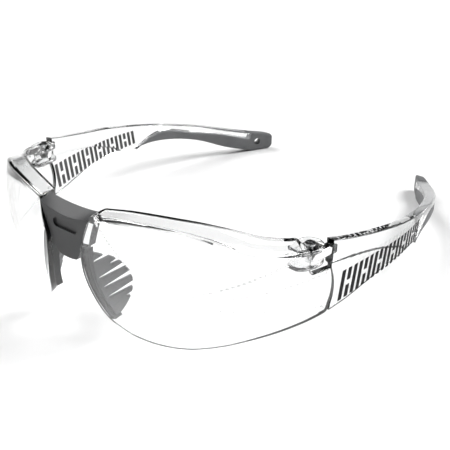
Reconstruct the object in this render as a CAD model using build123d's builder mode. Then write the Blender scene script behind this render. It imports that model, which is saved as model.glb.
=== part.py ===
from build123d import *
import math
import os

os.makedirs("parts", exist_ok=True)

# Sports protective goggles: two clear spherical shields joined by a bridge, with folding temples.
# They stand as on a table, on the two shields' lower edges and the two temple tips.
# X is the wearer's left, Y runs back to the ears, Z is up, and the table is z = 0.
# The origin is the middle of the bounding box's base. All sizes are millimetres.

DEPTH = 180.0            # front of the shields to the ends of the tips
FRONT = -DEPTH / 2

# shields: base 8 curve, one sphere each side
LENS_R = 66.2            # outer radius
LENS_T = 2.1             # wall
LENS_X = 6.2             # sphere centre, off the middle
LENS_Z = 34.3            # sphere centre, above the table
LEDGE_DEPTH = 8.0        # brow shelf, measured in from the outer surface
LEDGE_T = 2.2            # brow shelf thickness
LENS_Y = FRONT + LENS_R

# hinge
HINGE_X = 64.8
HINGE_BACK = 46.9        # behind the front
HINGE_Z = 35.4           # middle of the knuckle
KNUCKLE_H = 3.2          # temple's knuckle
EAR_T = 1.5              # each of the shield's two ears
HINGE_GAP = 0.3          # air above and below the knuckle
KNUCKLE_R = 3.6
EAR_R = 5.0
PIN_R = 1.0
PIN_CLEARANCE = 0.05     # radial, in the knuckle only
PIN_HEAD_R = 1.8
PIN_HEAD_H = 0.5
FOLD_GAP = 0.7           # between shield edge and temple front

# temple
BAND_T = 3.2             # upper band at the front
WING_T = 1.8             # side shield below the band

# bridge
COVER_BACK = 1.5         # cover, behind the front of the shields
COVER_T = 2.4            # front wall
COVER_TOP = 11.35        # half width at the top of the keystone
CORE_T = 3.0
PEG_R = 1.1
PEG_DEPTH = 1.4          # into the cover
PEG_X = 3.2
PEG_Z = 39.6

# nose pads
CARRIER_T = 2.6
PAD_T = 1.6
PAD_INSET = 0.8          # pad's root, behind the shield's inner surface
PAD_SPLAY = 28.0         # degrees, outwards from straight back
SLOT_IN = 0.45           # half width of a slot at its closed end
SLOT_OUT = 1.12          # half width of a slot at the rim

# lanyard hole through each tip
LANYARD_R = 1.7
LANYARD_BACK = 173.4
LANYARD_Z = 5.0


def back(distance):
    """Y of a place that lies the given distance behind the front."""
    return FRONT + distance


def seen_from_side(points):
    """Points given as (distance behind the front, z), turned into (y, z)."""
    return [(back(d), z) for d, z in points]


FRONT_VIEW = Plane(origin=(0, back(80), 0), x_dir=(1, 0, 0), z_dir=(0, -1, 0))
SIDE_VIEW = Plane(origin=(0, 0, 0), x_dir=(0, 1, 0), z_dir=(1, 0, 0))
LENS_CENTRE = (LENS_X, LENS_Y, LENS_Z)

# ---------------------------------------------------------------- shields

# Points seen from the front are (x, z), and seen from the side (distance behind the front, z).
lens_top = (COVER_TOP + 0.4, 49.7)
lens_waist = (7.9, 36.8)
nasal_edge = [lens_waist, (8.6, 27.8), (10.8, 19.4), (14.8, 9.6), (20.4, 4.0)]
lower_edge = [(20.4, 4.0), (27.5, 1.2), (36.0, 0.03), (45.0, 1.6), (56.3, 5.6), (67.0, 12.0), (76.0, 18.4)]
top_edge = [
    (76.0, 38.4), (68.0, 38.9), (61.6, 40.5), (56.0, 43.4), (50.0, 46.9), (44.0, 49.1), (32.0, 51.1),
    (22.0, 51.2), lens_top,
]
rear_edge = [(52.2, 8.0), (52.5, 13.5), (53.6, 17.8), (53.8, 21.5), (53.2, 25.6), (51.9, 29.8)]

with BuildSketch(FRONT_VIEW) as shield_outline:
    with BuildLine():
        Line(lens_top, lens_waist)
        Spline(*nasal_edge)
        Spline(*lower_edge)
        Line(lower_edge[-1], top_edge[0])
        Spline(*top_edge)
    make_face()

with BuildSketch(SIDE_VIEW) as shield_reach:
    with BuildLine():
        rear = Spline(*seen_from_side(rear_edge))
        Polyline(
            rear @ 1,
            (back(43.0), 30.2),
            (back(42.6), 60),
            (back(-10), 60),
            (back(-10), -10),
            (back(52.2), -10),
            rear @ 0,
        )
    make_face()

with BuildPart() as shield_shell:
    with Locations(LENS_CENTRE):
        Sphere(LENS_R)
        Sphere(LENS_R - LENS_T, mode=Mode.SUBTRACT)
    extrude(shield_outline.sketch, amount=100, mode=Mode.INTERSECT)
    extrude(shield_reach.sketch, amount=100, mode=Mode.INTERSECT)

# The brow shelf is the same sphere made thicker, kept only in a strip under the top edge.
shelf_low = [(x, z - LEDGE_T) for x, z in top_edge]
with BuildSketch(FRONT_VIEW) as shelf_strip:
    with BuildLine():
        Spline(*top_edge)
        Line(top_edge[-1], shelf_low[-1])
        Spline(*reversed(shelf_low))
        Line(shelf_low[0], top_edge[0])
    make_face()

with BuildPart() as brow_shelf:
    with Locations(LENS_CENTRE):
        Sphere(LENS_R)
        Sphere(LENS_R - LEDGE_DEPTH, mode=Mode.SUBTRACT)
    extrude(shelf_strip.sketch, amount=100, mode=Mode.INTERSECT)
    with Locations((40, back(20), 50)):
        Box(80, 45.2, 60, mode=Mode.INTERSECT)

# Two ears for the hinge, faired forward into the shield.
ear_low = HINGE_Z - KNUCKLE_H / 2 - HINGE_GAP - EAR_T
ear_high = HINGE_Z + KNUCKLE_H / 2 + HINGE_GAP
with BuildPart() as hinge_ears:
    for level in (ear_low, ear_high):
        with BuildSketch(Plane.XY.offset(level)):
            with Locations((HINGE_X, back(HINGE_BACK))):
                Circle(EAR_R)
            with BuildLine():
                Polyline(
                    (HINGE_X - EAR_R, back(HINGE_BACK)),
                    (HINGE_X - EAR_R - 2.0, back(35)),
                    (HINGE_X + 2, back(35)),
                    (HINGE_X + EAR_R + 1, back(HINGE_BACK - 3)),
                    (HINGE_X + EAR_R, back(HINGE_BACK)),
                    close=True,
                )
            make_face()
        extrude(amount=EAR_T)
    with Locations(LENS_CENTRE):
        Sphere(LENS_R + 0.4, mode=Mode.INTERSECT)

with BuildPart() as lens_left:
    add(shield_shell.part)
    add(brow_shelf.part)
    add(hinge_ears.part)
    with Locations((HINGE_X, back(HINGE_BACK), HINGE_Z)):
        Cylinder(PIN_R, 40, mode=Mode.SUBTRACT)

# ---------------------------------------------------------------- temples

outer_line = [
    (68.8, 46.0), (73.3, 73.4), (75.0, 92.4), (73.6, 111.4), (69.5, 131.4), (62.5, 150.9), (53.0, 167.4),
    (42.2, 183.5),
]
inner_line = [
    (68.8 - BAND_T, 46.0), (70.1, 73.4), (71.8, 92.4), (70.2, 111.2), (65.7, 130.4), (58.2, 149.0),
    (48.4, 164.6), (37.6, 180.4),
]
top_line = [
    (53.0, 39.2), (59.0, 37.5), (71.0, 34.7), (93.4, 30.2), (123.4, 23.6), (145.0, 17.9), (169.0, 10.8),
    (177.4, 8.8),
]
front_line = [(d + FOLD_GAP, z) for d, z in rear_edge[1:]]
low_line = [
    (53.4, 12.1), (61.5, 13.0), (69.0, 14.4), (75.0, 15.4), (82.0, 16.4), (92.0, 16.9),
    (107.3, 16.3), (126.1, 15.2), (145.0, 10.5), (160.0, 3.8), (171.0, 0.0),
]
step_line = [(48.0, 31.2), (60.7, 29.2), (70.0, 27.6), (77.2, 26.0), (88.0, 22.4), (96.0, 18.8), (101.0, 15.0)]
grip_line = [(106.8, 14.5), (122.0, 20.2), (142.4, 15.6), (156.0, 12.2), (169.6, 7.4)]


def plan_strip(outside, inside):
    """Closed face between two plan curves of (x, distance behind the front) points."""
    with BuildSketch(Plane.XY) as strip:
        with BuildLine():
            far = Spline(*[(x, back(d)) for x, d in outside])
            near = Spline(*[(x, back(d)) for x, d in inside])
            Line(far @ 0, near @ 0)
            Line(far @ 1, near @ 1)
        make_face()
    return strip.sketch


with BuildSketch(SIDE_VIEW) as arm_side:
    with BuildLine():
        upper = Spline(*seen_from_side(top_line))
        lower = Spline(*seen_from_side(low_line))
        foot = Line(lower @ 1, (back(176.0), 0))
        end = ThreePointArc(foot @ 1, (back(DEPTH), 4.6), upper @ 1)
        front_edge = Spline(lower @ 0, *seen_from_side(front_line))
        Line(front_edge @ 1, upper @ 0)
    make_face()

with BuildSketch(SIDE_VIEW) as grip_side:
    with BuildLine():
        edge = Spline(*seen_from_side(grip_line))
        Polyline(
            edge @ 1,
            (back(171.0), 24),
            (back(200), 24),
            (back(200), -5),
            (back(106.8), -5),
            edge @ 0,
        )
    make_face()

with BuildSketch(SIDE_VIEW) as wing_side:
    with BuildLine():
        step = Spline(*seen_from_side(step_line))
        Polyline(step @ 1, (back(101), -5), (back(48), -5), step @ 0)
    make_face()

with BuildPart() as arm:
    extrude(plan_strip(outer_line, inner_line), amount=60)
    extrude(arm_side.sketch, amount=100, mode=Mode.INTERSECT)

wing_skin = [(x - WING_T, d) for x, d in outer_line[:5]]
far_inside = [(x - 12, d) for x, d in outer_line[:5]]
with BuildPart() as wing_recess:
    extrude(plan_strip(wing_skin, far_inside), amount=60)
    extrude(wing_side.sketch, amount=100, mode=Mode.INTERSECT)

with BuildPart() as knuckle:
    with BuildSketch(Plane.XY.offset(HINGE_Z - KNUCKLE_H / 2)):
        with Locations((HINGE_X, back(HINGE_BACK))):
            Circle(KNUCKLE_R)
        with BuildLine():
            Polyline(
                (HINGE_X - 0.6, back(HINGE_BACK + 3.5)),
                (HINGE_X - KNUCKLE_R, back(HINGE_BACK)),
                (HINGE_X + KNUCKLE_R, back(HINGE_BACK)),
                (HINGE_X + 4.6, back(HINGE_BACK + 4.6)),
                (HINGE_X + 5.0, back(55.5)),
                (HINGE_X + 2.6, back(55.5)),
                close=True,
            )
        make_face()
    extrude(amount=KNUCKLE_H)

with BuildPart() as temple_left:
    add(arm.part)
    add(wing_recess.part, mode=Mode.SUBTRACT)
    add(knuckle.part)
    extrude(grip_side.sketch, amount=100, mode=Mode.SUBTRACT)
    with Locations((HINGE_X, back(HINGE_BACK), HINGE_Z)):
        Cylinder(PIN_R + PIN_CLEARANCE, 40, mode=Mode.SUBTRACT)

tip_run = Vector(53.0 - 42.2, 167.4 - 183.5, 0).normalized()
tip_out = Vector(-tip_run.Y, tip_run.X, 0)
LANYARD_X = 46.8
lanyard_plane = Plane(origin=(LANYARD_X, back(LANYARD_BACK), LANYARD_Z), z_dir=tip_out)

with BuildPart() as temple_grip_left:
    add(arm.part)
    extrude(grip_side.sketch, amount=100, mode=Mode.INTERSECT)
    with BuildSketch(lanyard_plane):
        Circle(LANYARD_R)
    extrude(amount=12, both=True, mode=Mode.SUBTRACT)

# ---------------------------------------------------------------- hinge pins

pin_bottom = ear_low
pin_length = 2 * (EAR_T + HINGE_GAP) + KNUCKLE_H
with BuildPart() as hinge_pin_left:
    with BuildSketch(Plane.XY.offset(pin_bottom)):
        with Locations((HINGE_X, back(HINGE_BACK))):
            Circle(PIN_R)
    extrude(amount=pin_length)
    with BuildSketch(Plane.XY.offset(pin_bottom + pin_length)):
        with Locations((HINGE_X, back(HINGE_BACK))):
            Circle(PIN_HEAD_R)
    extrude(amount=PIN_HEAD_H)
    with BuildSketch(Plane.XY.offset(pin_bottom + pin_length + PIN_HEAD_H)):
        with Locations((HINGE_X, back(HINGE_BACK))):
            Rectangle(2 * PIN_HEAD_R + 1, 0.5)
    extrude(amount=-0.4, mode=Mode.SUBTRACT)

# ---------------------------------------------------------------- bridge


def facing_front(distance):
    """Plane seen from the front, the given distance behind it."""
    return Plane(origin=(0, back(distance), 0), x_dir=(1, 0, 0), z_dir=(0, -1, 0))


cover_side = [(COVER_TOP, 48.4), (7.55, 36.8), (6.2, 34.0), (4.6, 31.3)]

with BuildSketch(facing_front(COVER_BACK)) as keystone:
    with BuildLine():
        ThreePointArc((-COVER_TOP, 48.4), (0, 45.9), (COVER_TOP, 48.4))
        right = Polyline(*cover_side)
        left = Polyline(*[(-x, z) for x, z in cover_side])
        ThreePointArc(right @ 1, (0, 30.6), left @ 1)
    make_face()

with BuildSketch(facing_front(COVER_BACK + 0.4)) as saddle_front:
    with BuildLine():
        ThreePointArc((-COVER_TOP, 48.4), (0, 45.9), (COVER_TOP, 48.4))
        Line((COVER_TOP, 48.4), (10.6, 46.2))
        ThreePointArc((10.6, 46.2), (0, 43.4), (-10.6, 46.2))
        Line((-10.6, 46.2), (-COVER_TOP, 48.4))
    make_face()

with BuildSketch(facing_front(6.2)) as saddle_rear:
    with BuildLine():
        ThreePointArc((-COVER_TOP, 49.4), (0, 48.6), (COVER_TOP, 49.4))
        Line((COVER_TOP, 49.4), (COVER_TOP, 47.6))
        ThreePointArc((COVER_TOP, 47.6), (0, 46.4), (-COVER_TOP, 47.6))
        Line((-COVER_TOP, 47.6), (-COVER_TOP, 49.4))
    make_face()

with BuildPart() as bridge_cover:
    extrude(keystone.sketch, amount=-COVER_T)
    loft([saddle_front.sketch, saddle_rear.sketch])
    # shallow rounded recess across the upper front
    with BuildSketch(facing_front(COVER_BACK)):
        with Locations((0, 42.4)):
            SlotOverall(11.4, 3.4)
    extrude(amount=-0.8, mode=Mode.SUBTRACT)
    with BuildSketch(facing_front(COVER_BACK + COVER_T)):
        with Locations((-PEG_X, PEG_Z), (PEG_X, PEG_Z)):
            Circle(PEG_R)
    extrude(amount=PEG_DEPTH, mode=Mode.SUBTRACT)

# The core lies behind the cover and the shields' nasal edges, against their inner surface.
with BuildSketch(facing_front(-5)) as core_half_outline:
    with BuildLine():
        Polyline(
            (0, 46.6),
            (12.6, 46.6),
            (10.8, 38.4),
            (7.4, 37.8),
            (6.4, 33.8),
            (0, 33.8),
            close=True,
        )
    make_face()

with BuildPart() as core_half:
    extrude(core_half_outline.sketch, amount=-30)
    with Locations(LENS_CENTRE):
        Sphere(LENS_R - LENS_T, mode=Mode.INTERSECT)
        Sphere(LENS_R - LENS_T - CORE_T, mode=Mode.SUBTRACT)

with BuildPart() as bridge_core:
    add(core_half.part)
    mirror(core_half.part, about=Plane.YZ)
    with BuildSketch(facing_front(COVER_BACK + COVER_T - PEG_DEPTH)):
        with Locations((-PEG_X, PEG_Z), (PEG_X, PEG_Z)):
            Circle(PEG_R)
    extrude(amount=-3)
    add(bridge_cover.part, mode=Mode.SUBTRACT)

# ---------------------------------------------------------------- nose pads

pad_top = Vector(9.9, back(3.9), 33.0)
pad_bottom = Vector(16.9, back(8.9), 10.5)
pad_run = (pad_bottom - pad_top).normalized()
splay = math.radians(PAD_SPLAY)
pad_face = pad_run.cross(Vector(math.sin(splay), math.cos(splay), 0)).normalized()
pad_plane = Plane(origin=pad_top, x_dir=pad_run, z_dir=pad_face)
# In the pad's plane, u runs down along the shield and v runs out to the free rim.
rim = [(0.4, 3.7), (4.4, 7.3), (10.2, 9.2), (14.8, 8.2), (19.5, 4.3), (21.6, 0.6)]
slots = [(1.2, -0.4), (4.5, 4.8), (7.2, -0.4), (10.9, -0.4), (14.7, -0.4), (17.6, 4.8)]

with BuildPart() as nose_pad_left:
    with BuildSketch(pad_plane):
        with BuildLine():
            edge = Spline(*rim)
            Polyline(edge @ 1, (21.2, -3.0), (-3.9, -3.0), (-3.9, -0.6), edge @ 0)
        make_face()
        for u, start in slots:
            with BuildLine():
                Polyline(
                    (u - SLOT_IN, start),
                    (u + SLOT_IN, start),
                    (u + SLOT_OUT, 10.5),
                    (u - SLOT_OUT, 10.5),
                    close=True,
                )
            make_face(mode=Mode.SUBTRACT)
    extrude(amount=PAD_T / 2, both=True)
    with Locations(LENS_CENTRE):
        Sphere(LENS_R - LENS_T - PAD_INSET, mode=Mode.INTERSECT)

# The carrier's groove takes the pad's root.
with BuildPart() as pad_groove:
    with BuildSketch(pad_plane):
        with Locations((8.9, 1.0)):
            Rectangle(25.8, 8.0)
    extrude(amount=PAD_T / 2, both=True)
    with Locations(LENS_CENTRE):
        Sphere(LENS_R - LENS_T - PAD_INSET, mode=Mode.INTERSECT)

carrier_in = [(8.0, 37.2), (8.7, 27.8), (10.9, 19.4), (14.4, 10.4)]
carrier_out = [(10.4, 37.4), (11.7, 28.2), (13.6, 19.8), (16.2, 11.0)]
with BuildPart() as pad_carrier_left:
    with BuildSketch(facing_front(-5)):
        with BuildLine():
            inner = Spline(*carrier_in)
            outer = Spline(*carrier_out)
            Line(inner @ 0, outer @ 0)
            Line(inner @ 1, outer @ 1)
        make_face()
    extrude(amount=-40)
    with Locations(LENS_CENTRE):
        Sphere(LENS_R - LENS_T, mode=Mode.INTERSECT)
        Sphere(LENS_R - LENS_T - CARRIER_T, mode=Mode.SUBTRACT)
    add(pad_groove.part, mode=Mode.SUBTRACT)

# ---------------------------------------------------------------- the other side, and the files

PAIRS = {
    "lens": lens_left,
    "temple": temple_left,
    "temple_grip": temple_grip_left,
    "hinge_pin": hinge_pin_left,
    "nose_pad": nose_pad_left,
    "pad_carrier": pad_carrier_left,
}
SINGLES = {"bridge_cover": bridge_cover, "bridge_core": bridge_core}


def save(solid, name):
    """Label a finished piece and write its file."""
    solid.label = name
    export_step(solid, f"parts/{name}.step")


for name, piece in SINGLES.items():
    save(piece.part, name)
for name, piece in PAIRS.items():
    save(piece.part, name + "_left")
    save(mirror(piece.part, about=Plane.YZ), name + "_right")
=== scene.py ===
import math

import bpy
import numpy as np
from mathutils import Matrix, Vector


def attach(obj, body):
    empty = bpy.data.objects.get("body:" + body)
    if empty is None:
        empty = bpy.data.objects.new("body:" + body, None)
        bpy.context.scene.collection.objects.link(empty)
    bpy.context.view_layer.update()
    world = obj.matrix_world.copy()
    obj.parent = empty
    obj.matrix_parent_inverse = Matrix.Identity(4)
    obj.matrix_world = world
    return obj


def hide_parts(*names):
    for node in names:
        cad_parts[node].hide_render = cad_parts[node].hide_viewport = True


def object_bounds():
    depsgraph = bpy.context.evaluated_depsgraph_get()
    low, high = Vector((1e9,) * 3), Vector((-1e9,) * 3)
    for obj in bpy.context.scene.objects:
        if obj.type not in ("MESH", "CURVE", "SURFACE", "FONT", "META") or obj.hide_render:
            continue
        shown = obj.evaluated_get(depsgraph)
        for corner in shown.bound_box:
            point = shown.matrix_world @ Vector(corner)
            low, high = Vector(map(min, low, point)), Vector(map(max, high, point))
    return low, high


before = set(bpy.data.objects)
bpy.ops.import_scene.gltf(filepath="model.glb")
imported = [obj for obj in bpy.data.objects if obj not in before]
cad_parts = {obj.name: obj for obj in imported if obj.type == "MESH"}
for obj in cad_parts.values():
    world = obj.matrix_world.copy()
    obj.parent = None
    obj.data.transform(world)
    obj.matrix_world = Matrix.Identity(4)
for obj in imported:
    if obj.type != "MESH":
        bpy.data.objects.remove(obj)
cad_low, cad_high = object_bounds()

# Clear sports goggles. X is the wearer's left, Y runs back to the ears, Z is up.
# Shapes are worked out in millimetres: Y starts at FRONT, and "back" means behind that.
MM = 0.001
DEPTH = 180.0
FRONT = cad_high.y / MM - DEPTH
SIDES = (("left", 1.0), ("right", -1.0))

# ---------------------------------------------------------------- the table and the light
# A white sweep of matt card under the goggles, lit by two large soft boxes, with a white backdrop.
# Rays that leave the clear plastic meet a dark room above the card, so its edges are drawn in black.
CARD_REACH = 6.0
CARD_COLOUR = (0.86, 0.86, 0.86, 1.0)
CARD_DROP = 0.00005       # metres below the goggles
BACKDROP = (0.95, 0.95, 0.95, 1.0)


class Wire:
    """One output in a node tree. An operator with a number or another wire adds a Math node."""

    def __init__(self, recipe, socket):
        self.recipe = recipe
        self.socket = socket

    def math(self, operation, first, second):
        return self.recipe.node("ShaderNodeMath", {"operation": operation}, {0: first, 1: second})

    def __add__(self, other):
        return self.math("ADD", self, other)

    def __radd__(self, other):
        return self.math("ADD", other, self)

    def __sub__(self, other):
        return self.math("SUBTRACT", self, other)

    def __rsub__(self, other):
        return self.math("SUBTRACT", other, self)

    def __mul__(self, other):
        return self.math("MULTIPLY", self, other)

    def __rmul__(self, other):
        return self.math("MULTIPLY", other, self)


class Recipe:
    """A node tree that is filled one node at a time."""

    def __init__(self, tree):
        self.tree = tree
        tree.nodes.clear()

    def node(self, kind, settings, sockets, output=0):
        """Add a node, set its settings and then its sockets, and give one output as a Wire.
        A node without outputs gives None."""
        made = self.tree.nodes.new(kind)
        for name, value in settings.items():
            if name == "stops":
                ramp = made.color_ramp
                ramp.elements[0].position, ramp.elements[0].color = value[0]
                ramp.elements[1].position, ramp.elements[1].color = value[-1]
                for place, colour in value[1:-1]:
                    ramp.elements.new(place).color = colour
            else:
                setattr(made, name, value)
        for name, value in sockets.items():
            if isinstance(value, Wire):
                self.tree.links.new(value.socket, made.inputs[name])
            else:
                made.inputs[name].default_value = value
        return Wire(self, made.outputs[output]) if made.outputs else None


def new_finish(name):
    """An empty material and the recipe that fills it."""
    material = bpy.data.materials.new(name)
    material.use_nodes = True
    return material, Recipe(material.node_tree)


def noise(recipe, scale, detail=3.0):
    """Noise over the piece, from about 0 to 1, with the given number of cells per metre."""
    place = recipe.node("ShaderNodeTexCoord", {}, {}, "Object")
    return recipe.node("ShaderNodeTexNoise", {}, {"Vector": place, "Scale": scale, "Detail": detail})


card_finish, recipe = new_finish("matt_card")
card = recipe.node(
    "ShaderNodeBsdfPrincipled",
    {},
    {"Base Color": CARD_COLOUR, "Roughness": 0.9 + noise(recipe, 40.0) * 0.05, "Specular IOR Level": 0.1},
)
recipe.node("ShaderNodeOutputMaterial", {}, {"Surface": card})

corners = CARD_REACH * np.array([[-1.0, -1.0, 0.0], [1.0, -1.0, 0.0], [1.0, 1.0, 0.0], [-1.0, 1.0, 0.0]])
sweep_mesh = bpy.data.meshes.new("table_card")
sweep_mesh.from_pydata(corners + [0.0, 0.0, cad_low.z - CARD_DROP], [], [[0, 1, 2, 3]])
sweep_mesh.materials.append(card_finish)
sweep = bpy.data.objects.new("table_card", sweep_mesh)
bpy.context.collection.objects.link(sweep)

world = bpy.data.worlds.new("studio")
world.use_nodes = True
bpy.context.scene.world = world
recipe = Recipe(world.node_tree)
gaze = recipe.node("ShaderNodeTexCoord", {}, {}, "Generated")
height = recipe.node("ShaderNodeSeparateXYZ", {}, {"Vector": gaze}, "Z")
room = recipe.node(
    "ShaderNodeValToRGB",
    {
        "stops": [
            (0.0, BACKDROP),
            (0.03, BACKDROP),
            (0.1, (0.02, 0.02, 0.02, 1.0)),
            (1.0, (0.01, 0.01, 0.01, 1.0)),
        ]
    },
    {"Fac": height},
)
in_view = recipe.node("ShaderNodeLightPath", {}, {}, "Is Camera Ray")
backdrop = recipe.node(
    "ShaderNodeMix",
    {"data_type": "RGBA"},
    {"Factor": in_view, 6: room, 7: BACKDROP},
    2,
)
glow = recipe.node("ShaderNodeBackground", {}, {"Color": backdrop, "Strength": 1.0})
recipe.node("ShaderNodeOutputWorld", {}, {"Surface": glow})


def soft_box(name, place, target, size, power):
    """A square lamp at place, turned to face target. Metres and watts."""
    lamp = bpy.data.lights.new(name, "AREA")
    lamp.shape = "SQUARE"
    lamp.size = size
    lamp.energy = power
    holder = bpy.data.objects.new(name, lamp)
    holder.location = place
    holder.rotation_euler = (Vector(target) - Vector(place)).to_track_quat("-Z", "Y").to_euler()
    bpy.context.collection.objects.link(holder)


soft_box("key_box", (1.1, 1.2, 1.9), (0.0, 0.0, 0.0), size=1.2, power=62.0)
soft_box("fill_box", (-1.6, -0.3, 2.0), (0.0, 0.1, 0.0), size=1.6, power=52.0)

# ---------------------------------------------------------------- the camera
# It stands ahead of the wearer's left eye, above the goggles, and looks down on them.
FOCAL_PIXELS = 779.98
PICTURE = 450.0
SENSOR = 36.0
AIM = Vector((0.0, -0.0266, 0.025))
AIM_DISTANCE = 0.30257
AZIMUTH = math.radians(40.63)
ELEVATION = math.radians(27.17)
ROLL = math.radians(-0.845)

level = math.cos(ELEVATION)
backward = Vector((math.sin(AZIMUTH) * level, -math.cos(AZIMUTH) * level, math.sin(ELEVATION)))
level_right = (-backward).cross(Vector((0, 0, 1))).normalized()
level_up = backward.cross(level_right)
right = level_right * math.cos(ROLL) + level_up * math.sin(ROLL)
up = level_up * math.cos(ROLL) - level_right * math.sin(ROLL)

camera_data = bpy.data.cameras.new("camera")
camera_data.sensor_width = SENSOR
camera_data.lens = FOCAL_PIXELS / PICTURE * SENSOR
camera_data.shift_x = 0.0808
camera_data.shift_y = -0.0435
camera_data.clip_start = 0.01
camera_data.clip_end = 50.0
camera = bpy.data.objects.new("camera", camera_data)
camera.matrix_world = Matrix.Translation(AIM + backward * AIM_DISTANCE) @ Matrix(
    (right, up, backward)
).transposed().to_4x4()
bpy.context.collection.objects.link(camera)
bpy.context.scene.camera = camera
bpy.context.scene.view_settings.view_transform = "Standard"
bpy.context.scene.view_settings.look = "None"

# ---------------------------------------------------------------- the two shields
# Each shield is one clear polycarbonate moulding, a piece of a sphere of 8-base curve.
# A shelf runs back along its brow edge, and a notch at the top corner makes room for the hinge.
SHIELD_R = 66.2
WALL = 2.1
SHIELD_MIDDLE = np.array([6.2, FRONT + SHIELD_R, 34.3])
BROW_DEPTH = 5.2          # shelf, behind the wall
BROW_THICK = 2.2
EDGE_ROUND = 0.32
OUTLINE_STEPS = 900

NASAL_SIDE = [(11.75, 49.7), (7.9, 36.8)]
NASAL_EDGE = [(7.9, 36.8), (8.6, 27.8), (10.8, 19.4), (14.8, 9.6), (20.4, 4.0)]
LOWER_EDGE = [(20.4, 4.0), (27.5, 1.2), (36.0, 0.05), (45.0, 1.6), (56.3, 5.6), (66.9, 12.0)]
REAR_EDGE = [(52.3, 12.3), (52.5, 13.5), (53.6, 17.8), (53.8, 21.5), (53.2, 25.6), (51.9, 29.8)]
HINGE_NOTCH = [(51.8, 30.0), (43.0, 30.2), (42.8, 38.6)]
BROW_EDGE = [
    (67.9, 38.9), (61.6, 40.5), (56.0, 43.4), (50.0, 46.9), (44.0, 49.1), (32.0, 51.0), (22.0, 51.1),
    (11.75, 49.7),
]
SHIELD_HEART = np.array([31.0, 24.0])
FLARE = 0.0085            # millimetres per square millimetre of drop
FLARE_TOP = 30.0
FLARE_FRONT = 30.0
FLARE_REAR = 53.0
DIMMING = 18.0            # absorption of the clear plastic, per metre
LEVEL_RUN = 1.5           # the shelf's level part blends into the shell over this height
RIM_BLUR = 0.6            # softens the outline's corners


def smooth(share):
    """Share from 0 to 1, eased at both ends: share * share * (3 - 2 * share)."""
    return share * share * (3 - 2 * share)


def through(knots, values, at):
    """Cubic Hermite curve through values at knots, with three-point slopes, held level past its ends."""
    knots = np.asarray(knots, float)
    values = np.asarray(values, float)
    at = np.clip(at, knots[0], knots[-1])
    slope = np.gradient(values, knots)
    i = np.clip(np.searchsorted(knots, at, side="right") - 1, 0, len(knots) - 2)
    span = knots[i + 1] - knots[i]
    t = (at - knots[i]) / span
    rise = values[i] * (1 + 2 * t) * (1 - t) ** 2 + values[i + 1] * t * t * (3 - 2 * t)
    return rise + span * (slope[i] * t * (1 - t) ** 2 - slope[i + 1] * t * t * (1 - t))


def curve(points, count=200):
    """Smooth curve through 2-D points, measured along its chords."""
    points = np.asarray(points, float)
    chord = np.concatenate([[0.0], np.cumsum(np.linalg.norm(np.diff(points, axis=0), axis=1))])
    at = np.linspace(0.0, chord[-1], count)
    return np.stack([through(chord, points[:, 0], at), through(chord, points[:, 1], at)], 1)


def even_loop(points, count, blur):
    """Closed loop walked in even steps, with every column averaged over a bell of width blur."""
    closed = np.vstack([points, points[:1]])
    walk = np.concatenate([[0.0], np.cumsum(np.linalg.norm(np.diff(closed[:, :2], axis=0), axis=1))])
    at = np.linspace(0.0, walk[-1], count, endpoint=False)
    even = np.stack([np.interp(at, walk, column) for column in closed.T], 1)
    reach = np.minimum(at, walk[-1] - at)
    bell = np.exp(-0.5 * (reach / blur) ** 2)
    spread = np.fft.fft(even, axis=0) * np.fft.fft(bell / bell.sum())[:, None]
    return np.fft.ifft(spread, axis=0).real


def from_front(points):
    """(x, z) on the sphere, as (distance round the sphere's upright axis, z)."""
    x, z = np.asarray(points).T
    level = np.sqrt(SHIELD_R**2 - (z - SHIELD_MIDDLE[2]) ** 2)
    return np.stack([np.arcsin((x - SHIELD_MIDDLE[0]) / level) * SHIELD_R, z], 1)


def from_side(points):
    """(distance back, z) on the sphere, as (distance round the sphere's upright axis, z)."""
    back, z = np.asarray(points, float).T
    level = np.sqrt(SHIELD_R**2 - (z - SHIELD_MIDDLE[2]) ** 2)
    return np.stack([np.arccos((SHIELD_R - back) / level) * SHIELD_R, z], 1)


def on_shield(flat, depth):
    """Point of the sphere at (distance round, z), drawn towards the sphere's middle by depth.
    The rear lower corner flares outwards by FLARE * drop squared * smooth(s), where drop is the depth
    below FLARE_TOP, and s grows from 0 to 1 between FLARE_FRONT and FLARE_REAR.
    Near the brow edge the height is kept level to the rear: height there follows BROW_EDGE at that x."""
    turn = flat[..., 0] / SHIELD_R
    rise = (flat[..., 1] - SHIELD_MIDDLE[2]) / SHIELD_R
    level = np.sqrt(1.0 - rise**2)
    way = np.stack([level * np.sin(turn), -level * np.cos(turn), rise], -1)
    spot = SHIELD_MIDDLE + way * (SHIELD_R - depth)[..., None]
    back = spot[..., 1] - FRONT
    drop = np.maximum(FLARE_TOP - flat[..., 1], 0.0)
    s = np.clip((back - FLARE_FRONT) / (FLARE_REAR - FLARE_FRONT), 0.0, 1.0)
    spot[..., 0] += FLARE * drop**2 * smooth(s)
    brow_x, brow_z = np.asarray(BROW_EDGE[::-1]).T
    outer_x = SHIELD_MIDDLE[0] + way[..., 0] * SHIELD_R
    under = through(brow_x, brow_z, outer_x) - flat[..., 1]
    near = np.clip(1 - (under - BROW_THICK) / LEVEL_RUN, 0.0, 1.0)
    climb = through(brow_x, brow_z, spot[..., 0]) - through(brow_x, brow_z, outer_x)
    spot[..., 2] += smooth(near) * (flat[..., 1] + climb - spot[..., 2])
    return spot


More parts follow.
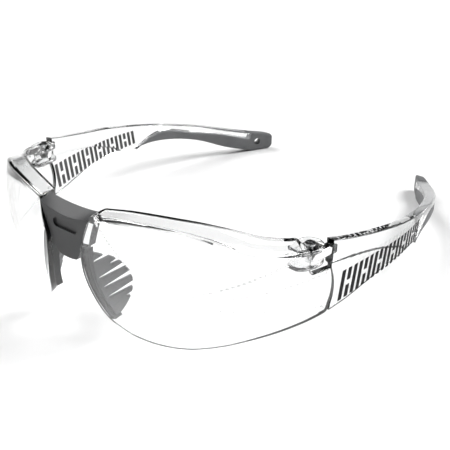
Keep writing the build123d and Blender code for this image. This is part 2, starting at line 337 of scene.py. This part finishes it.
def dish(outline, heart, rows, place):
    """Closed form with a heart on each face. A row is (share, inset, depth): its points are
    heart + share * (outline + inward * inset - heart), sunk by depth, and place turns them into space."""
    ahead = np.roll(outline, -1, axis=0) - np.roll(outline, 1, axis=0)
    inward = np.stack([-ahead[:, 1], ahead[:, 0]], 1) / np.linalg.norm(ahead, axis=1)[:, None]
    if np.sum(inward * (heart - outline)) < 0:
        inward = -inward
    count = len(outline)
    even = np.zeros(count)
    rings = []
    for share, inset, depth in rows:
        ring = outline + inward * (even + inset)[:, None]
        rings.append(place(heart + share * (ring - heart), even + depth))
    first = place(heart[None], even[:1] + np.mean(rows[0][2]))
    last = place(heart[None], even[:1] + np.mean(rows[-1][2]))
    points = np.vstack(rings + [first, last])
    here = np.arange(count)
    there = (here + 1) % count
    start = np.arange(len(rows) - 1)[:, None] * count
    walls = np.stack([start + here, start + there, start + count + there, start + count + here], -1)
    end = (len(rows) - 1) * count
    front_fan = np.stack([here * 0 + len(points) - 2, there, here], 1)
    back_fan = np.stack([here * 0 + len(points) - 1, end + here, end + there], 1)
    return points, walls.reshape(-1, 4).tolist() + front_fan.tolist() + back_fan.tolist()


def joined(forms):
    """Several (points, faces) forms as one."""
    points, faces, start = [], [], 0
    for some_points, some_faces in forms:
        points.append(some_points)
        faces += [[start + i for i in face] for face in some_faces]
        start += len(some_points)
    return np.vstack(points), faces


def add_piece(name, form, side, body, finish, replaced, crease=35.0):
    """Put a form, in millimetres, on one side of the goggles, with its faces turned outwards.
    Edges sharper than crease degrees stay sharp."""
    points = form[0] * [side, 1.0, 1.0]
    faces = form[1]
    lead = np.array([face[:3] for face in faces])
    tail = np.array([[face[0], face[-2], face[-1]] for face in faces])
    triangles = points[np.vstack([lead, tail])]
    volume = np.sum(triangles[:, 0] * np.cross(triangles[:, 1], triangles[:, 2]))
    if volume < 0:
        faces = [face[::-1] for face in faces]
    mesh = bpy.data.meshes.new(name)
    mesh.from_pydata(points * MM, [], faces)
    mesh.materials.append(finish)
    mesh.polygons.foreach_set("use_smooth", [True] * len(faces))
    mesh.set_sharp_from_angle(angle=math.radians(crease))
    piece = bpy.data.objects.new(name, mesh)
    bpy.context.collection.objects.link(piece)
    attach(piece, body)
    if replaced:
        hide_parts(replaced)
    return piece


def clear_finish(name, tint, shade):
    """Polished clear polycarbonate: glass of its index, with faint wipe marks in its gloss.
    Lamp light passes straight through it, dimmed to shade, and other light is dimmed along its way."""
    material, recipe = new_finish(name)
    wear = noise(recipe, 90.0)
    glass = recipe.node(
        "ShaderNodeBsdfPrincipled",
        {},
        {"Base Color": tint, "Roughness": wear * 0.02, "IOR": 1.585, "Transmission Weight": 1.0},
    )
    dimmed = recipe.node("ShaderNodeBsdfTransparent", {}, {"Color": shade})
    lamp_ray = recipe.node("ShaderNodeLightPath", {}, {}, "Is Shadow Ray")
    mixed = recipe.node("ShaderNodeMixShader", {}, {"Fac": lamp_ray, 1: glass, 2: dimmed})
    dimming = recipe.node(
        "ShaderNodeVolumeAbsorption", {}, {"Color": (0.1, 0.1, 0.1, 1.0), "Density": DIMMING}
    )
    recipe.node("ShaderNodeOutputMaterial", {}, {"Surface": mixed, "Volume": dimming})
    return material


shield_plastic = clear_finish("shield_polycarbonate", (0.99, 0.995, 0.995, 1.0), (0.95, 0.95, 0.95, 1.0))

lengths = [
    (from_front(NASAL_SIDE), 0.0),
    (from_front(curve(NASAL_EDGE)), 0.0),
    (from_front(curve(LOWER_EDGE)), 0.0),
    (from_side(curve(REAR_EDGE)), 0.0),
    (from_side(HINGE_NOTCH), 0.0),
    (from_front(curve(BROW_EDGE)), 1.0),
]
traced = np.vstack([np.column_stack([flat, np.full(len(flat), shelf)]) for flat, shelf in lengths])
rim = even_loop(traced, OUTLINE_STEPS, RIM_BLUR)
shelf = BROW_DEPTH * np.clip(rim[:, 2] * 1.02 - 0.01, 0.0, 1.0)

# A round edge turns through a quarter circle: opening falls from 1 to 0, and closing grows from 0 to 1.
quarter = np.linspace(0.0, math.pi / 2, 5)
opening = 1 - np.sin(quarter)
closing = 1 - np.cos(quarter)
rounded = list(zip(opening, closing))
shares = np.linspace(0.04, 1.0, 26)
full = WALL + shelf
lift = np.minimum(shelf, EDGE_ROUND)
shield_rows = [(share, EDGE_ROUND, 0.0) for share in shares]
shield_rows += [(1.0, EDGE_ROUND * a, EDGE_ROUND * b) for a, b in rounded[1:]]
shield_rows += [(1.0, 0.0, EDGE_ROUND + (full - 2 * EDGE_ROUND) * t) for t in np.linspace(0.15, 1.0, 7)]
shield_rows += [(1.0, EDGE_ROUND * b, full - EDGE_ROUND * a) for a, b in rounded[1:]]
shield_rows += [(1.0, BROW_THICK - EDGE_ROUND, full)]
shield_rows += [(1.0, BROW_THICK - EDGE_ROUND * a, full - lift * b) for a, b in rounded[1:]]
shield_rows += [(1.0, BROW_THICK, WALL + (shelf - lift) * t) for t in (0.66, 0.33, 0.08)]
shield_rows += [(share, BROW_THICK + EDGE_ROUND, WALL) for share in shares[::-1]]
shield_form = dish(rim[:, :2], SHIELD_HEART, shield_rows, on_shield)

# ---------------------------------------------------------------- hinge blocks
# Two clear ears stand out behind the notch of each shield and hold the hinge pin.
# They are moulded with the shield, so they are joined to it in one piece.
HINGE = np.array([64.8, 46.9, 35.4])
KNUCKLE_HIGH = 3.2
EAR_THICK = 1.5
HINGE_AIR = 0.3
EAR_ROUND = 0.6
EAR_PLAN = [
    (60.4, 39.6), (64.2, 39.4), (66.8, 40.8), (68.6, 43.4), (69.4, 46.4), (69.0, 49.2), (67.3, 51.3),
    (64.8, 52.0), (62.1, 51.3), (60.4, 49.6), (59.8, 46.6), (59.8, 42.6),
]
PLATE_STEPS = 160
PLATE_BLUR = 0.7
EDGE_TOP = 30.0           # the painted shade on the edges ends at this height
EDGE_TURN = 0.35          # and their normals point at least this far along Y


def plate(plan, low, high, rounding):
    """Flat form with rounded edges: plan is (x, distance back), and low and high are its faces."""
    loop = even_loop(np.asarray(plan, float), PLATE_STEPS, PLATE_BLUR)
    heart = loop.mean(axis=0)
    thick = high - low
    rows = [(share, rounding, 0.0) for share in (0.3, 0.6, 0.85, 1.0)]
    rows += [(1.0, rounding * a, rounding * b) for a, b in rounded[1:]]
    rows += [(1.0, rounding * b, thick - rounding * a) for a, b in rounded]
    rows += [(share, rounding, thick) for share in (0.85, 0.6, 0.3)]

    def laid_flat(flat, depth):
        return np.column_stack([flat[:, 0], flat[:, 1] + FRONT, high - depth])

    return dish(loop, heart, rows, laid_flat)


ear_top = HINGE[2] + KNUCKLE_HIGH / 2 + HINGE_AIR
ear_low = HINGE[2] - KNUCKLE_HIGH / 2 - HINGE_AIR
ears = [
    plate(EAR_PLAN, ear_top, ear_top + EAR_THICK, EAR_ROUND),
    plate(EAR_PLAN, ear_low - EAR_THICK, ear_low, EAR_ROUND),
]

# The upright edges where shield and temple meet trap the light and look black, so that shade is painted on
# them: they take a near-black finish.
edge_shade_paint, recipe = new_finish("painted_edge_shade")
edge_gloss_noise = noise(recipe, 300.0)
body = recipe.node(
    "ShaderNodeBsdfPrincipled",
    {},
    {"Base Color": (0.012, 0.012, 0.013, 1.0), "Roughness": 0.12 + edge_gloss_noise * 0.1, "Specular IOR Level": 0.5},
)
recipe.node("ShaderNodeOutputMaterial", {}, {"Surface": body})


def paint_shade_on_edge(piece, finish, facing, front, rear):
    """Paint shade on the upright edge between two distances back: its faces take the near-black finish.
    Facing is -1 for an edge that faces the front and 1 for one that faces the rear."""
    mesh = piece.data
    mesh.materials.append(finish)
    count = len(mesh.polygons)
    normal = np.zeros(count * 3)
    middle = np.zeros(count * 3)
    mesh.polygons.foreach_get("normal", normal)
    mesh.polygons.foreach_get("center", middle)
    back = middle[1::3] / MM - FRONT
    height = middle[2::3] / MM
    chosen = (normal[1::3] * facing > EDGE_TURN) & (back > front) & (back < rear) & (height < EDGE_TOP)
    mesh.polygons.foreach_set("material_index", chosen.astype(np.int32))
    mesh.update()


for word, side in SIDES:
    shield = add_piece(
        "shield_" + word,
        joined([shield_form] + ears),
        side,
        "front",
        shield_plastic,
        "lens_" + word,
    )
    # Painted shade: the shield's upright rear edge by the hinge turns near-black.
    paint_shade_on_edge(shield, edge_shade_paint, facing=1, front=50.0, rear=56.0)

# ---------------------------------------------------------------- temples
# Each temple is one clear moulding: a thick upper band, and below it a thinner side shield.
# The band carries on to the rear as a narrow bar above the rubber grip.
OUTER_PLAN = [
    (68.8, 46.0), (73.3, 73.4), (75.0, 92.4), (73.6, 111.4), (69.5, 131.4), (62.5, 150.9), (53.0, 167.4),
    (42.2, 183.5),
]
INNER_PLAN = [
    (65.6, 46.0), (70.1, 73.4), (71.8, 92.4), (70.2, 111.2), (65.7, 130.4), (58.2, 149.0), (48.4, 164.6),
    (37.6, 180.4),
]
TOP_LINE = [
    (53.0, 39.2), (59.0, 37.5), (71.0, 34.7), (93.4, 30.2), (123.4, 23.6), (145.0, 17.9), (169.0, 10.8),
    (177.4, 8.8),
]
LOW_LINE = [
    (53.4, 12.1), (61.5, 13.0), (69.0, 14.4), (75.0, 15.4), (82.0, 16.4), (92.0, 16.9),
    (107.3, 16.3), (126.1, 15.2), (145.0, 10.5), (160.0, 3.8), (171.0, 0.0),
]
STEP_LINE = [
    (48.0, 31.2), (60.7, 29.2), (70.0, 27.6), (77.2, 26.0), (88.0, 22.4), (96.0, 18.8), (101.0, 15.0),
]
GRIP_LINE = [(106.8, 14.5), (122.0, 20.2), (142.4, 15.6), (156.0, 12.2), (169.6, 7.4)]
# The front edge bulges to the rear: (height, how far back of the foremost station).
FRONT_SLANT = [
    (12.1, 0.3), (13.5, 0.3), (17.8, 1.4), (21.5, 1.6), (25.6, 1.0), (29.8, -0.3), (32.0, 0.0), (39.6, 0.0),
]
WING_THICK = 1.8
WING_END = 101.0
WING_FADE = 3.0
STEP_RUN = 0.5            # height over which the band steps down to the side shield
TEMPLE_START = 53.0
SLANT_END = 76.0          # the front edge's bulge has faded out here
BAND_ROUND = 0.45
SKIN = 0.08               # print and polish stay this far inside the widest outline
TEMPLE_END = 170.6


def height_of(line, back):
    """Height of a side-view line at a distance back."""
    knots, values = np.asarray(line).T
    return through(knots, values, back)


outer_x, outer_back = np.asarray(OUTER_PLAN).T
inner_x, inner_back = np.asarray(INNER_PLAN).T


def plan_slope(back):
    """Change of the outer plan curve's x per millimetre back."""
    return (through(outer_back, outer_x, back + 0.2) - through(outer_back, outer_x, back - 0.2)) / 0.4


def on_temple(back, inward, height):
    """Point of the temple: outer plan curve at back, moved in along its normal, at a height."""
    ahead = plan_slope(back)
    long = np.sqrt(1 + ahead**2)
    x = through(outer_back, outer_x, back) - SKIN
    return np.stack([x - inward / long, FRONT + back + ahead * inward / long, height + 0.0 * back], -1)


def band_depth(back):
    """Distance between the outer and inner plan curves, square to the arm."""
    gap = through(outer_back, outer_x, back) - through(inner_back, inner_x, back)
    return gap / np.sqrt(1 + plan_slope(back) ** 2) - SKIN


def sleeve(outside, inside):
    """Closed form from two grids of the same shape, outside and inside, whose edges are joined."""
    rows, columns = outside.shape[:2]
    loops = np.concatenate([outside, inside[:, ::-1]], axis=1)
    around = 2 * columns
    here = np.arange(around)
    there = (here + 1) % around
    start = np.arange(rows - 1)[:, None] * around
    walls = np.stack([start + here, start + there, start + around + there, start + around + here], -1)
    a = np.arange(columns - 1)
    b = around - 1 - a
    front_cap = np.stack([a + 1, a, b, b - 1], 1)
    back_cap = np.stack([a, a + 1, b - 1, b], 1) + (rows - 1) * around
    faces = walls.reshape(-1, 4).tolist() + front_cap.tolist() + back_cap.tolist()
    return loops.reshape(-1, 3), faces


def edge_profile(high, low, rounding, count):
    """Heights from high to low, crowded at both ends, and how far each is drawn in by a round edge.
    On the edge, at turn a of a quarter circle, the height moves in by rounding * (1 - cos a), and the
    point is drawn in by rounding * (1 - sin a)."""
    turn = np.linspace(0.0, math.pi / 2, 6)
    high, low, rounding = high[:, None], low[:, None], rounding[:, None]
    top = high - rounding * (1 - np.cos(turn))
    bottom = low + rounding * (1 - np.cos(turn[::-1]))
    span = np.linspace(0.0, 1.0, count + 2)[1:-1]
    middle = (high - rounding) * (1 - span) + (low + rounding) * span
    drawn = rounding * (1 - np.sin(turn))
    heights = np.concatenate([top, middle, bottom], 1)
    inset = np.concatenate([drawn, 0 * middle, drawn[:, ::-1]], 1)
    return heights, inset


front_end = TEMPLE_START + np.array([0.0, 0.15, 0.4])
rear_end = TEMPLE_END - np.array([0.3, 0.0])
stations = np.concatenate([front_end, np.linspace(TEMPLE_START + 0.8, TEMPLE_END - 0.8, 170), rear_end])
fade = smooth(np.clip((SLANT_END - stations) / (SLANT_END - TEMPLE_START), 0.0, 1.0))
on_grip = np.where(stations > GRIP_LINE[0][0], height_of(GRIP_LINE, stations), 0.0)
underside = np.maximum(height_of(LOW_LINE, stations), on_grip)
topside = height_of(TOP_LINE, stations)
edge = np.minimum(BAND_ROUND, (topside - underside) * 0.45)
heights, inset = edge_profile(topside, underside, edge, 60)
slant_height, slant_back = np.asarray(FRONT_SLANT).T
reach = stations[:, None] + through(slant_height, slant_back, heights) * fade[:, None]
thick = band_depth(stations)[:, None] + 0 * heights
step = height_of(STEP_LINE, stations)[:, None]
below = smooth(np.clip((step - heights) / STEP_RUN + 0.5, 0.0, 1.0))
below = below * np.clip((WING_END - stations[:, None]) / WING_FADE, 0.0, 1.0)
inner_depth = thick * (1 - below) + WING_THICK * below
temple_outside = on_temple(reach, inset, heights)
temple_inside = on_temple(reach, inner_depth - inset, heights)
temple_form = sleeve(temple_outside, temple_inside)

KNUCKLE_PLAN = [
    (64.4, 50.4), (61.8, 48.9), (61.3, 46.4), (62.4, 44.2), (64.8, 43.4), (67.2, 44.3), (68.4, 46.4),
    (69.2, 50.4), (69.9, 55.5), (67.2, 55.5), (66.2, 53.0),
]
KNUCKLE_ROUND = 0.5
knuckle = plate(KNUCKLE_PLAN, HINGE[2] - KNUCKLE_HIGH / 2, HINGE[2] + KNUCKLE_HIGH / 2, KNUCKLE_ROUND)
temple_plastic = clear_finish("temple_polycarbonate", (0.99, 0.995, 0.995, 1.0), (0.93, 0.93, 0.93, 1.0))

for word, side in SIDES:
    temple = add_piece(
        "clear_temple_" + word,
        joined([temple_form, knuckle]),
        side,
        word + "_temple",
        temple_plastic,
        "temple_" + word,
    )
    # Painted shade: the temple's upright front edge turns near-black.
    paint_shade_on_edge(temple, edge_shade_paint, facing=-1, front=51.0, rear=56.0)

# ---------------------------------------------------------------- printed bars
# Black screen ink on the outer face of each side shield: plain slanted bars, taller towards the front.
# Every third bar is broken by a gap. The two sides lean opposite ways.
INK_THICK = 0.05
INK_SUNK = 0.01           # how far the ink reaches into the plastic
INK_EDGE = 0.02
INK_LEAN = 0.14
BAR_COUNT = 19
BAR_START = 57.0
BAR_GAP_FROM = 0.42       # where a broken bar's gap starts and ends, as shares of its height
BAR_GAP_TO = 0.58


def bar(start, wide, low, high, lean):
    """One slanted bar on the outer face: its foot starts at start, and low and high are its ends."""
    corners = [(start, low), (start + wide, low), (start + wide, high), (start, high)]
    loop = even_loop(np.asarray(corners, float), 60, 0.18)
    loop[:, 0] += lean * (loop[:, 1] - low)
    rows = [
        (0.5, INK_EDGE, 0.0),
        (1.0, INK_EDGE, 0.0),
        (1.0, 0.0, INK_EDGE),
        (1.0, 0.0, INK_THICK),
        (0.5, 0.0, INK_THICK),
    ]

    def on_face(flat, depth):
        return on_temple(flat[:, 0], depth - INK_THICK + INK_SUNK, flat[:, 1])

    return dish(loop, loop.mean(axis=0), rows, on_face)


def band_of_bars(lean):
    """The whole row of bars, leaning back by lean per unit of height."""
    bars = []
    start = BAR_START
    for number in range(BAR_COUNT):
        share = number / (BAR_COUNT - 1)
        wide = 1.9 - 0.35 * share
        foot = 14.0 + 5.2 * share - 1.6 * share**2
        tall = 11.4 - 4.6 * share
        if number % 3 == 1:
            upper = foot + tall * BAR_GAP_TO
            bars.append(bar(start, wide, foot, foot + tall * BAR_GAP_FROM, lean))
            bars.append(bar(start + lean * (upper - foot), wide, upper, foot + tall, lean))
        else:
            bars.append(bar(start, wide, foot, foot + tall, lean))
        start += wide + 1.15 - 0.2 * share
    return joined(bars)


ink, recipe = new_finish("screen_ink")
coverage = noise(recipe, 700.0)
ink_colour = recipe.node(
    "ShaderNodeMix",
    {"data_type": "RGBA"},
    {"Factor": coverage, 6: (0.006, 0.006, 0.007, 1.0), 7: (0.014, 0.014, 0.015, 1.0)},
    2,
)
body = recipe.node(
    "ShaderNodeBsdfPrincipled",
    {},
    {"Base Color": ink_colour, "Roughness": 0.5 + coverage * 0.2, "Specular IOR Level": 0.15},
)
recipe.node("ShaderNodeOutputMaterial", {}, {"Surface": body})

for word, side in SIDES:
    row = band_of_bars(INK_LEAN * side)
    add_piece("printed_bars_" + word, row, side, word + "_temple", ink, None)

# ---------------------------------------------------------------- rubber grips
# Soft grey rubber moulded over the lower part of each arm, thick at the ear and round at its end.
# A hole near the end takes a neck cord.
GRIP_START = 108.2
GRIP_END = 180.0
GRIP_ROUND = 1.1
GRIP_PROUD = 0.06         # the rubber stands this far above the plastic
TAIL_LONG = 8.0           # length of the tail, where stations crowd together
ROUND_LONG = 4.4          # length over which the end rounds off
OVERLAP_START = 168.8     # the rubber climbs over the clear bar from here on
OVERLAP_RUN = 2.2
HOLE_R = 1.7
CUTTER_HALF = 8.0
HOLE_PLACE = np.array([46.03, FRONT + 172.88, 5.0])
HOLE_WAY = np.array([0.8305, 0.5571, 0.0])

grip_nose = GRIP_START + 6.0 * np.linspace(0.0, 1.0, 24) ** 1.6
grip_tail = GRIP_END - TAIL_LONG * np.cos(np.linspace(0.05, math.pi / 2, 26))
grip_length = np.linspace(114.4, GRIP_END - TAIL_LONG, 110)
grip_stations = np.concatenate([grip_nose, grip_length, grip_tail])
rear = smooth(np.clip((grip_stations - OVERLAP_START) / OVERLAP_RUN, 0.0, 1.0))
grip_low = height_of(LOW_LINE, grip_stations)
grip_high = height_of(GRIP_LINE, grip_stations) * (1 - rear) + height_of(TOP_LINE, grip_stations) * rear
past = np.clip((grip_stations - (GRIP_END - ROUND_LONG)) / ROUND_LONG, 0.0, 1.0)
round_end = (1 - past**3) ** (1 / 3)
middle_high = (grip_low + grip_high) / 2
half_high = (grip_high - grip_low) / 2 * np.maximum(round_end, 0.02)
grip_high = middle_high + half_high
grip_low = middle_high - half_high
grip_edge = np.minimum(GRIP_ROUND, np.maximum(grip_high - grip_low, 0.04) * 0.45)
grip_heights, grip_inset = edge_profile(grip_high, grip_low, grip_edge, 12)
grip_depth = band_depth(grip_stations)[:, None]
tail_pinch = (grip_depth / 2) * (1 - np.maximum(round_end, 0.15)[:, None] ** 0.7)
grip_reach = grip_stations[:, None] + 0 * grip_heights
slope = -plan_slope(grip_stations)
catch_up = np.clip((grip_stations - 140.0) / 36.0, 0.0, 1.0) ** 2 * slope / np.sqrt(1 + slope**2)
outside_depth = grip_inset + tail_pinch - GRIP_PROUD
inside_depth = grip_depth - grip_inset - tail_pinch + GRIP_PROUD
grip_outside = on_temple(grip_reach, outside_depth, grip_heights)
grip_inside = on_temple(grip_reach, inside_depth, grip_heights)
grip_inside[..., 1] += catch_up[:, None] * inside_depth
grip_outside[..., 1] += catch_up[:, None] * outside_depth
grip_form = sleeve(grip_outside, grip_inside)


def rubber_finish(name, dark, light, gloss):
    """Matt moulded rubber: a fine sandblasted grain, and slow cloudy changes of shade."""
    material, recipe = new_finish(name)
    cloud = noise(recipe, 120.0)
    grain = noise(recipe, 4200.0, 2.0)
    shade = recipe.node("ShaderNodeMix", {"data_type": "RGBA"}, {"Factor": cloud, 6: dark, 7: light}, 2)
    bump = recipe.node("ShaderNodeBump", {}, {"Height": grain, "Strength": 0.25, "Distance": 0.00006})
    body = recipe.node(
        "ShaderNodeBsdfPrincipled",
        {},
        {"Base Color": shade, "Roughness": gloss + grain * 0.12, "Normal": bump, "Specular IOR Level": 0.4},
    )
    recipe.node("ShaderNodeOutputMaterial", {}, {"Surface": body})
    return material


grip_rubber = rubber_finish("grip_rubber", (0.115, 0.118, 0.122, 1.0), (0.165, 0.168, 0.172, 1.0), 0.5)


def drill(piece, place, way, radius):
    """Cut a round hole of the given radius through the piece, along way."""
    count = 48
    ring = np.linspace(0.0, 2 * math.pi, count, endpoint=False)
    side_way = np.array([-way[1], way[0], 0.0])
    circle = radius * (np.cos(ring)[:, None] * side_way + np.sin(ring)[:, None] * [0.0, 0.0, 1.0])
    points = np.vstack([place - way * CUTTER_HALF + circle, place + way * CUTTER_HALF + circle])
    here = np.arange(count)
    there = (here + 1) % count
    walls = np.stack([here, there, there + count, here + count], 1).tolist()
    cutter_mesh = bpy.data.meshes.new("cutter")
    cutter_mesh.from_pydata(points * MM, [], walls + [here[::-1].tolist(), (here + count).tolist()])
    cutter = bpy.data.objects.new("cutter", cutter_mesh)
    bpy.context.collection.objects.link(cutter)
    cut = piece.modifiers.new("hole", "BOOLEAN")
    cut.object = cutter
    cut.solver = "MANIFOLD"
    graph = bpy.context.evaluated_depsgraph_get()
    drilled = bpy.data.meshes.new_from_object(piece.evaluated_get(graph))
    piece.modifiers.clear()
    piece.data = drilled
    drilled.set_sharp_from_angle(angle=math.radians(40))
    bpy.data.objects.remove(cutter)


for word, side in SIDES:
    grip = add_piece(
        "rubber_grip_" + word,
        grip_form,
        side,
        word + "_temple",
        grip_rubber,
        "temple_grip_" + word,
    )
    drill(grip, HOLE_PLACE * [side, 1, 1], HOLE_WAY * [side, 1, 1], HOLE_R)

# ---------------------------------------------------------------- moulded plastics, pads and pins
# The bridge cover and core, the pad carriers, the pads and the pins keep their CAD form.
# They take their finishes here, and the cover's edges are softened.


def moulded_finish(name, dark, light, gloss):
    """Satin moulded plastic: spark-eroded grain with a slight change of shade."""
    material, recipe = new_finish(name)
    cloud = noise(recipe, 160.0)
    grain = noise(recipe, 3000.0, 2.0)
    shade = recipe.node("ShaderNodeMix", {"data_type": "RGBA"}, {"Factor": cloud, 6: dark, 7: light}, 2)
    bump = recipe.node("ShaderNodeBump", {}, {"Height": grain, "Strength": 0.18, "Distance": 0.00005})
    body = recipe.node(
        "ShaderNodeBsdfPrincipled",
        {},
        {"Base Color": shade, "Roughness": gloss + grain * 0.1, "Normal": bump},
    )
    recipe.node("ShaderNodeOutputMaterial", {}, {"Surface": body})
    return material


def refinish(node, finish):
    """Give a CAD node its finish."""
    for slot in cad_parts[node].material_slots:
        slot.material = finish


EDGE_SOFT = 0.35          # width of the cover's soft edges
cover_plastic = moulded_finish("bridge_grey", (0.04, 0.041, 0.043, 1.0), (0.054, 0.055, 0.057, 1.0), 0.42)
dark_plastic = moulded_finish("carrier_dark", (0.018, 0.019, 0.02, 1.0), (0.03, 0.031, 0.032, 1.0), 0.4)
pad_rubber = rubber_finish("pad_rubber", (0.1, 0.101, 0.104, 1.0), (0.135, 0.137, 0.14, 1.0), 0.45)
refinish("bridge_cover", cover_plastic)
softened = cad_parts["bridge_cover"].modifiers.new("soft_edges", "BEVEL")
softened.width = EDGE_SOFT * MM
softened.segments = 3
softened.limit_method = "ANGLE"
refinish("bridge_core", shield_plastic)

pin_steel, recipe = new_finish("turned_steel")
lathe = noise(recipe, 2500.0)
body = recipe.node(
    "ShaderNodeBsdfPrincipled",
    {},
    {"Base Color": (0.62, 0.63, 0.64, 1.0), "Metallic": 1.0, "Roughness": 0.18 + lathe * 0.15},
)
recipe.node("ShaderNodeOutputMaterial", {}, {"Surface": body})
for word, side in SIDES:
    refinish("pad_carrier_" + word, dark_plastic)
    refinish("nose_pad_" + word, pad_rubber)
    refinish("hinge_pin_" + word, pin_steel)
